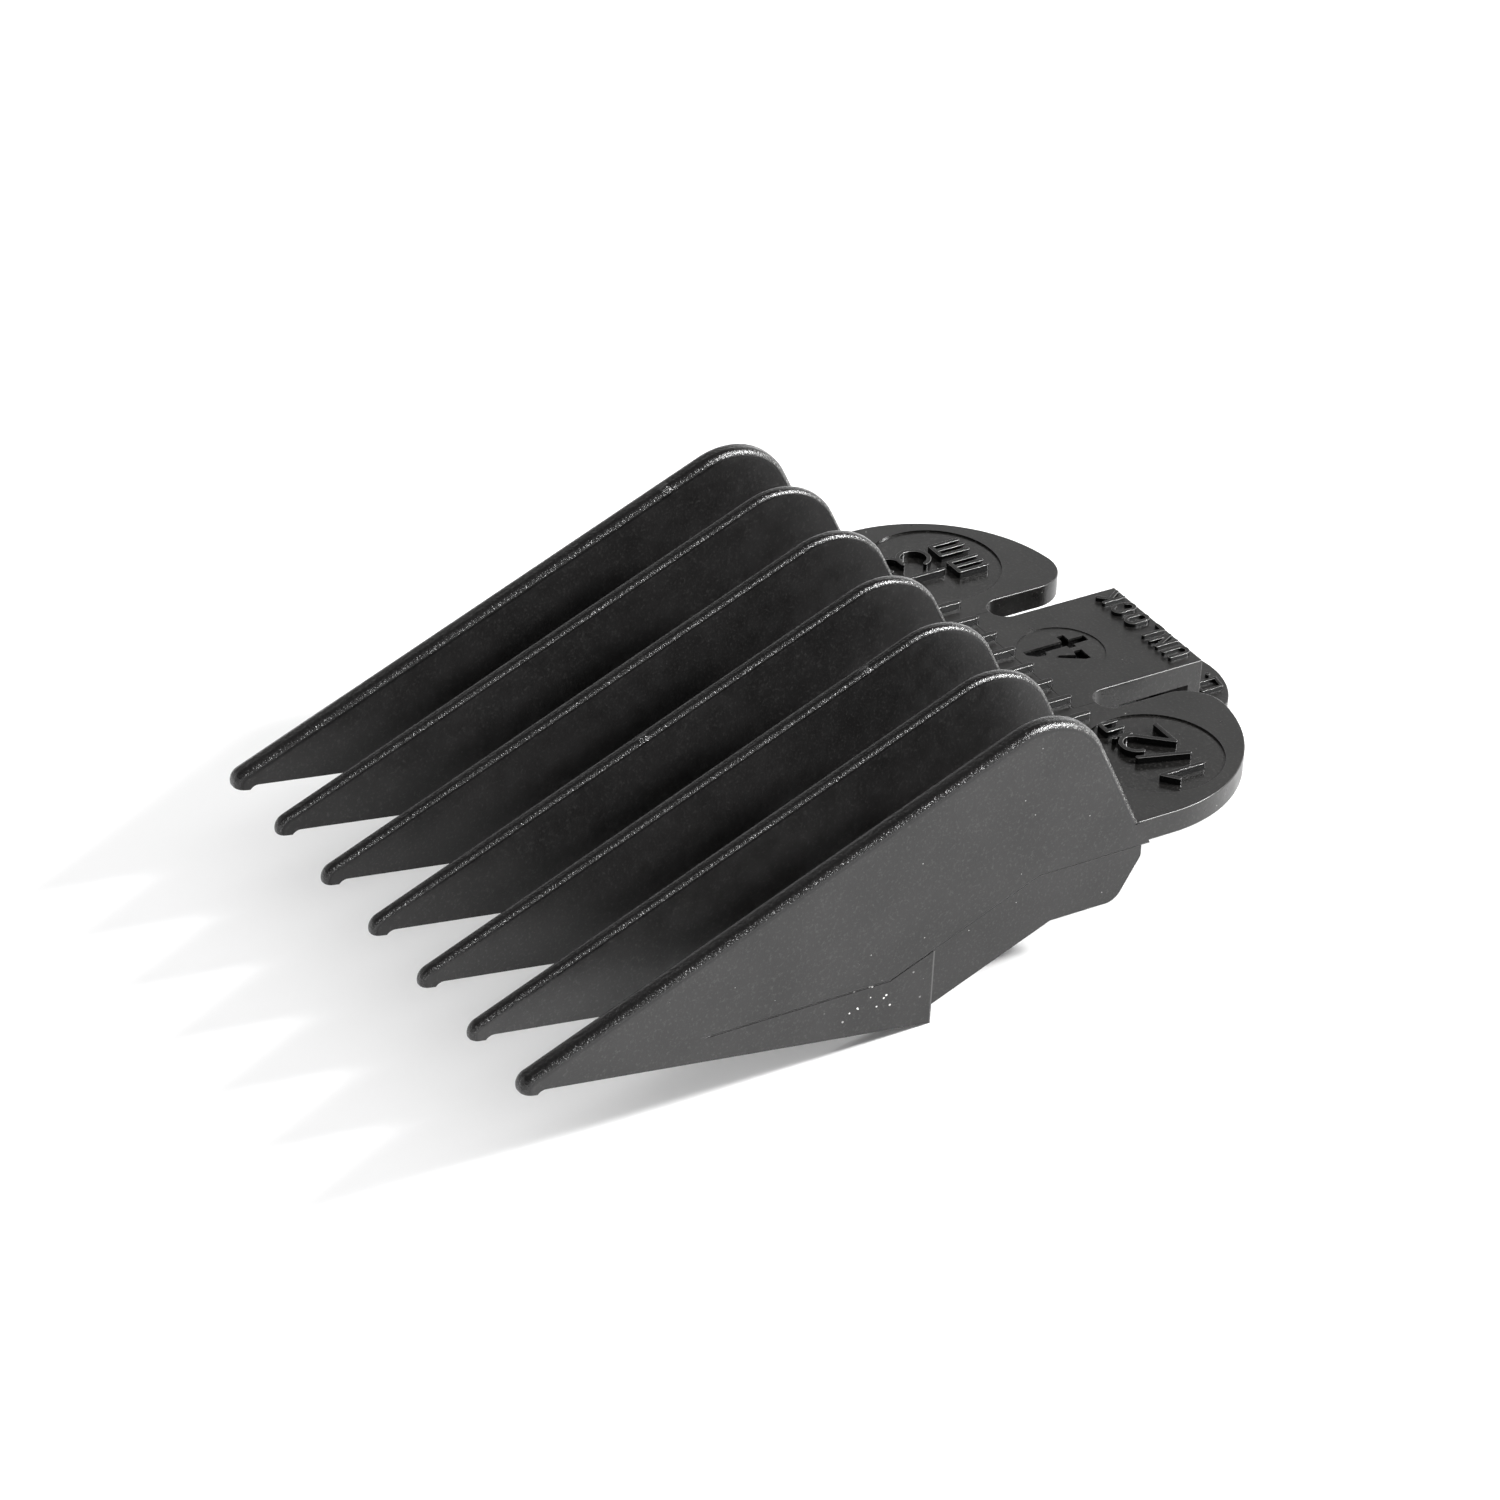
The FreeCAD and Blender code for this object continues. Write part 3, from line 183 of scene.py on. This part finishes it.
def make_world():
    """A surrounding that is white low down and dark overhead."""
    world = bpy.data.worlds.new("studio")
    world.use_nodes = True
    tree = world.node_tree
    background = tree.nodes["Background"]
    place = tree.nodes.new("ShaderNodeTexCoord")
    parts = tree.nodes.new("ShaderNodeSeparateXYZ")
    level = tree.nodes.new("ShaderNodeMapRange")
    level.interpolation_type = "SMOOTHSTEP"
    level.inputs["From Min"].default_value = LOW_RISE
    level.inputs["From Max"].default_value = HIGH_RISE
    level.inputs["To Min"].default_value = LOW_SKY
    level.inputs["To Max"].default_value = HIGH_SKY
    tree.links.new(place.outputs["Generated"], parts.inputs[0])
    tree.links.new(parts.outputs[2], level.inputs["Value"])
    tree.links.new(level.outputs["Result"], background.inputs["Strength"])
    background.inputs["Color"].default_value = WHITE
    bpy.context.scene.world = world


class Nodes:
    """Short ways to add and join the nodes of one material.

    across, along and up are a place on the comb, in metres in its flat plate's frame.
    """

    def __init__(self, name):
        self.material = bpy.data.materials.new(name)
        self.material.use_nodes = True
        self.tree = self.material.node_tree
        self.shader = self.tree.nodes["Principled BSDF"]
        self.spot = self.add("ShaderNodeTexCoord")
        turned = Matrix.Rotation(TIP, 3, "X") @ REST
        plate = self.add("ShaderNodeMapping", Vector=self.spot.outputs["Object"],
                         Location=tuple(-turned), Rotation=(TIP, 0.0, 0.0))
        self.plate = plate.outputs["Vector"]
        self.across, self.along, self.up = self.parts(self.plate)

    def add(self, kind, settings=None, **inputs):
        """A new node, with its settings and what goes into its inputs."""
        node = self.tree.nodes.new(kind)
        for key, value in (settings or {}).items():
            setattr(node, key, value)
        for key, value in inputs.items():
            self.join(value, node.inputs[key.replace("_", " ")])
        return node

    def join(self, value, socket):
        """Gives a socket another node's output or a plain value."""
        if isinstance(value, bpy.types.NodeSocket):
            self.tree.links.new(value, socket)
        else:
            socket.default_value = value

    def parts(self, vector):
        """The three parts of a vector."""
        return self.add("ShaderNodeSeparateXYZ", Vector=vector).outputs

    def normal(self):
        """The three parts of the normal, in the piece's own frame."""
        return self.parts(self.spot.outputs["Normal"])

    def noise(self, scale, detail=2.0, rough=0.5):
        """Noise that is fixed to the comb, mostly from 0.3 to 0.7."""
        node = self.add("ShaderNodeTexNoise", Vector=self.plate, Scale=scale, Detail=detail,
                        Roughness=rough)
        return node.outputs["Fac"]

    def math(self, operation, first, second=0.0):
        """One step of arithmetic."""
        node = self.add("ShaderNodeMath", {"operation": operation})
        self.join(first, node.inputs[0])
        self.join(second, node.inputs[1])
        return node.outputs[0]

    def times(self, first, second):
        """The product, which for two masks is 1 where both are 1."""
        return self.math("MULTIPLY", first, second)

    def size(self, value):
        """A value without its sign."""
        return self.math("ABSOLUTE", value)

    def ramp(self, value, low, high, to_low=0.0, to_high=1.0):
        """A straight ramp between two levels, held at its ends. The levels must rise."""
        node = self.add("ShaderNodeMapRange", {"clamp": True}, Value=value, From_Min=low,
                        From_Max=high, To_Min=to_low, To_Max=to_high)
        return node.outputs["Result"]

    def fall(self, value, low, high):
        """1 below a level and 0 above a higher one."""
        return self.ramp(value, low, high, 1.0, 0.0)

    def near(self, value, middle, inner, outer):
        """1 within the inner distance of a middle and 0 beyond the outer one."""
        return self.fall(self.size(self.math("SUBTRACT", value, middle)), inner, outer)

    def between(self, value, rise, fall):
        """1 between two pairs of levels, 0 below the first and above the second."""
        return self.times(self.ramp(value, *rise), self.fall(value, *fall))

    def mix(self, factor, first, second):
        """The first colour, turning into the second as the factor goes from 0 to 1."""
        node = self.add("ShaderNodeMix", {"data_type": "RGBA"})
        self.join(factor, node.inputs[0])
        self.join(first, node.inputs[6])
        self.join(second, node.inputs[7])
        return node.outputs[2]

    def blend(self, factor, first, second):
        """The same for plain numbers."""
        node = self.add("ShaderNodeMix", {"data_type": "FLOAT"})
        self.join(factor, node.inputs[0])
        self.join(first, node.inputs[2])
        self.join(second, node.inputs[3])
        return node.outputs[0]

    def dust(self, scale, share, radius):
        """1 on small round specks, which some of the cells of a random grid hold."""
        cells = self.add("ShaderNodeTexVoronoi", Vector=self.plate, Scale=scale)
        chosen = self.math("LESS_THAN", self.parts(cells.outputs["Color"])[0], share)
        close = self.math("LESS_THAN", cells.outputs["Distance"], radius)
        return self.times(chosen, close)


class Nylon(Nodes):
    """Black moulded nylon with an uneven gleam and fine grain. base is its colour so far."""

    def __init__(self, name, rough, grain):
        super().__init__(name)
        self.fine = self.noise(FINE_SCALE, NOISE_DETAIL, FINE_ROUGHNESS)
        uneven = self.noise(SHINE_SCALE, NOISE_DETAIL)
        self.rough = self.ramp(uneven, *NOISE_RANGE, rough - SMOOTHER, rough + ROUGHER)
        self.grain = grain
        self.groove = 0.0
        self.base = None

    def tint(self, colour):
        """An uneven colour with pale specks in its grain."""
        uneven = self.ramp(self.noise(TINT_SCALE, NOISE_DETAIL), *TINT_LEVELS)
        self.base = self.mix(uneven, shade(colour, TINT_DARK), shade(colour, TINT_PALE))
        self.paint(self.ramp(self.fine, *SPECKLE_LEVELS, 0.0, SPECKLE_SHARE), SPECKLE)

    def paint(self, mask, colour):
        """Another colour where the mask is 1."""
        self.base = self.mix(mask, self.base, colour)

    def polish(self, mask, rough):
        """Another roughness where the mask is 1."""
        self.rough = self.blend(mask, self.rough, rough)

    def finish(self):
        """Joins the colour, the roughness and the grain to the shader."""
        height = self.math("ADD", self.times(self.fine, self.grain), self.groove)
        bump = self.add("ShaderNodeBump", Strength=1.0, Distance=BUMP_DISTANCE, Height=height)
        self.join(self.base, self.shader.inputs["Base Color"])
        self.join(self.rough, self.shader.inputs["Roughness"])
        self.join(bump.outputs["Normal"], self.shader.inputs["Normal"])
        self.shader.inputs["IOR"].default_value = NYLON_IOR
        return self.material


def shade(colour, factor):
    """A colour made darker or lighter."""
    return tuple(channel * factor for channel in colour) + (1.0,)


def make_rib():
    """Ribs and cheeks: grained crests with painted shade on top, painted glints and a painted
    shade line at their shoulders, and mould lines, a painted highlight on the step's edge,
    crumbs and dust on the outer faces.
    """
    n = Nylon("nylon_rib", RIB_ROUGH, RIB_GRAIN)
    n.tint(RIB_COLOUR)
    sideways, rearward, _ = n.normal()
    facing = n.size(sideways)
    crest = n.fall(facing, *CREST_LEVELS)
    n.polish(crest, CREST_ROUGH)
    n.grain = n.blend(crest, RIB_GRAIN, n.blend(witness_marks(n), CREST_GRAIN, WITNESS_GRAIN))
    # Painted shade: the crests' tops are darkened.
    n.paint(n.times(crest, CREST_SHADE_SHARE), shade(RIB_COLOUR, CREST_SHADE))

    # Painted glints: pale specks on the shoulders, palest at the heel, where a highlight is
    # painted.
    shoulder = n.between(facing, SHOULDER_RISE, SHOULDER_FALL)
    glint_specks = n.noise(SHOULDER_NOISE_SCALE, SHOULDER_NOISE_DETAIL)
    glint_specks = n.ramp(glint_specks, *SHOULDER_NOISE_LEVELS)
    straight = n.mix(n.ramp(n.size(n.across), *OUTER_RIB), INNER_SHOULDER_GLINT, OUTER_SHOULDER_GLINT)
    pale = n.mix(n.ramp(rearward, *HEEL_LEVELS), straight, HEEL_HIGHLIGHT)
    n.paint(n.times(shoulder, glint_specks), pale)
    # Painted shade: a dark line where the crest's rounding meets the side.
    line = n.between(facing, SHADE_LINE_RISE, SHADE_LINE_FALL)
    n.paint(n.times(line, SHADE_LINE_SHARE), SHADE_LINE)

    outside = n.ramp(n.size(n.across), *OUTER_FACE)
    n.groove = n.times(n.times(mould_line(n), outside), -GROOVE_DEPTH)
    # Painted highlight on the step's edge.
    n.paint(n.times(step_highlight(n), outside), STEP_HIGHLIGHT)
    n.paint(n.times(n.dust(*CRUMB_CELLS), crumb_patch(n)), CRUMB)
    n.paint(n.times(n.dust(*DUST_CELLS), outside), DUST)
    return n.finish()


def make_seat():
    """The plate and its ears, whose round recesses have glossier floors."""
    n = Nylon("nylon_seat", PLATE_ROUGH, PLATE_GRAIN)
    n.tint(PLATE_COLOUR)
    n.paint(n.dust(*DUST_CELLS), DUST)
    n.polish(dish_patch(n), DISH_ROUGH)
    return n.finish()


def make_tab():
    """The tab, its leg, its catch and its tongue. The engraved number has painted shade inside.
    """
    n = Nylon("nylon_tab", PLATE_ROUGH, PLATE_GRAIN)
    n.tint(PLATE_COLOUR)
    n.paint(n.dust(*DUST_CELLS), DUST)
    pit = n.times(n.fall(n.up, *PIT_TOP), number_patch(n))
    # Painted shade inside the engraved number.
    n.paint(pit, PIT_SHADE)
    n.polish(pit, PIT_ROUGH)
    return n.finish()


def make_mark():
    """Raised marks, with painted shade on their glossy sides and painted highlights on their
    edges.
    """
    n = Nylon("nylon_mark", MARK_ROUGH, MARK_GRAIN)
    level = n.size(n.normal()[2])
    flat = n.ramp(level, *MARK_FLAT)
    # Painted shade on the marks' sides.
    n.base = n.mix(flat, MARK_SIDE_SHADE, shade(MARK_COLOUR, MARK_DARK))
    # Painted highlight on the marks' top edges.
    n.paint(n.between(level, EDGE_RISE, EDGE_FALL), MARK_EDGE_HIGHLIGHT)
    n.rough = n.blend(flat, MARK_SIDE_ROUGH, n.rough)
    return n.finish()


def mould_line(n):
    """1 on the fine line where the mould's halves met: level, sloping up, then level again."""
    level = n.math("SUBTRACT", n.times(n.along, MOULD_SLOPE), MOULD_DROP)
    level = n.math("MINIMUM", n.math("MAXIMUM", level, MOULD_LOWEST), MOULD_HIGHEST)
    line = n.fall(n.size(n.math("SUBTRACT", n.up, level)), *MOULD_WIDTH)
    return n.times(line, n.ramp(n.along, *MOULD_START))


def step_highlight(n):
    """1 on the edge of the step below the mould line, where a highlight is painted."""
    return n.times(n.near(n.along, *STEP_ALONG), n.fall(n.up, *STEP_TOP))


def witness_marks(n):
    """1 on the rough bands that cross the crests of three ribs."""
    total = 0.0
    for across, along in WITNESS_PLACES:
        rib = n.near(n.across, across, *WITNESS_ACROSS)
        band = n.near(n.along, along, *WITNESS_ALONG)
        total = n.math("ADD", n.times(rib, band), total)
    return total


def crumb_patch(n):
    """1 on the patch above the step's foot where more dust has gathered."""
    return n.times(n.near(n.along, *CRUMBS_ALONG), n.near(n.up, *CRUMBS_UP))


def dish_patch(n):
    """1 in the round recesses of the ears."""
    across = n.math("SUBTRACT", n.size(n.across), DISH_ACROSS)
    along = n.math("SUBTRACT", n.along, DISH_ALONG)
    square = n.math("ADD", n.times(across, across), n.times(along, along))
    return n.math("LESS_THAN", square, DISH_RADIUS ** 2)


def number_patch(n):
    """1 over the number engraved in the tab."""
    across = n.size(n.across)
    along = n.size(n.math("SUBTRACT", n.along, NUMBER_ALONG))
    return n.times(n.math("LESS_THAN", across, NUMBER_HALF_WIDTH),
                   n.math("LESS_THAN", along, NUMBER_HALF_LENGTH))


def make_floor():
    """A plain white floor."""
    n = Nodes("floor")
    pale = n.mix(n.ramp(n.noise(FLOOR_SCALE), *NOISE_RANGE), FLOOR_DARK, FLOOR_PALE)
    n.join(pale, n.shader.inputs["Base Color"])
    n.shader.inputs["Roughness"].default_value = FLOOR_ROUGH
    n.shader.inputs["Specular IOR Level"].default_value = FLOOR_SPECULAR
    mesh = bpy.data.meshes.new("floor")
    corners = [(x * FLOOR_HALF, y * FLOOR_HALF, 0.0) for x, y in FLOOR_CORNERS]
    mesh.from_pydata(corners, [], [(0, 1, 2, 3)])
    mesh.materials.append(n.material)
    floor = bpy.data.objects.new("floor", mesh)
    bpy.context.collection.objects.link(floor)


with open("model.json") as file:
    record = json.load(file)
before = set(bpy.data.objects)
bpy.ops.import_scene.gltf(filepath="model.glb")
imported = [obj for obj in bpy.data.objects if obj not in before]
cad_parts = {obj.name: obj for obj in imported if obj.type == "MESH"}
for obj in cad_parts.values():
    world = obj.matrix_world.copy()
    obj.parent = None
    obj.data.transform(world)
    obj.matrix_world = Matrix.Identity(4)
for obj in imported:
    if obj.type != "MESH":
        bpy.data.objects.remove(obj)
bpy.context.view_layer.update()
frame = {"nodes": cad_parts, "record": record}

make_camera()
make_world()
make_light("key", KEY_DIRECTION, LIGHT_DISTANCE, KEY_SIZE, KEY_POWER)
make_light("rim", RIM_DIRECTION, LIGHT_DISTANCE, RIM_SIZE, RIM_POWER, spread=False)
make_light("fill", FILL_DIRECTION, FILL_HEIGHT, FILL_SIZE, FILL_POWER, mirrored=False)
make_floor()
bpy.context.scene.view_settings.view_transform = "Standard"

nylon = {
    "nylon_rib": make_rib(),
    "nylon_seat": make_seat(),
    "nylon_tab": make_tab(),
    "nylon_mark": make_mark(),
}
slots = {part["node"]: part["material_slot"] for part in frame["record"]["subparts"]}
for name, node in frame["nodes"].items():
    node.data.materials.clear()
    node.data.materials.append(nylon[slots[name]])
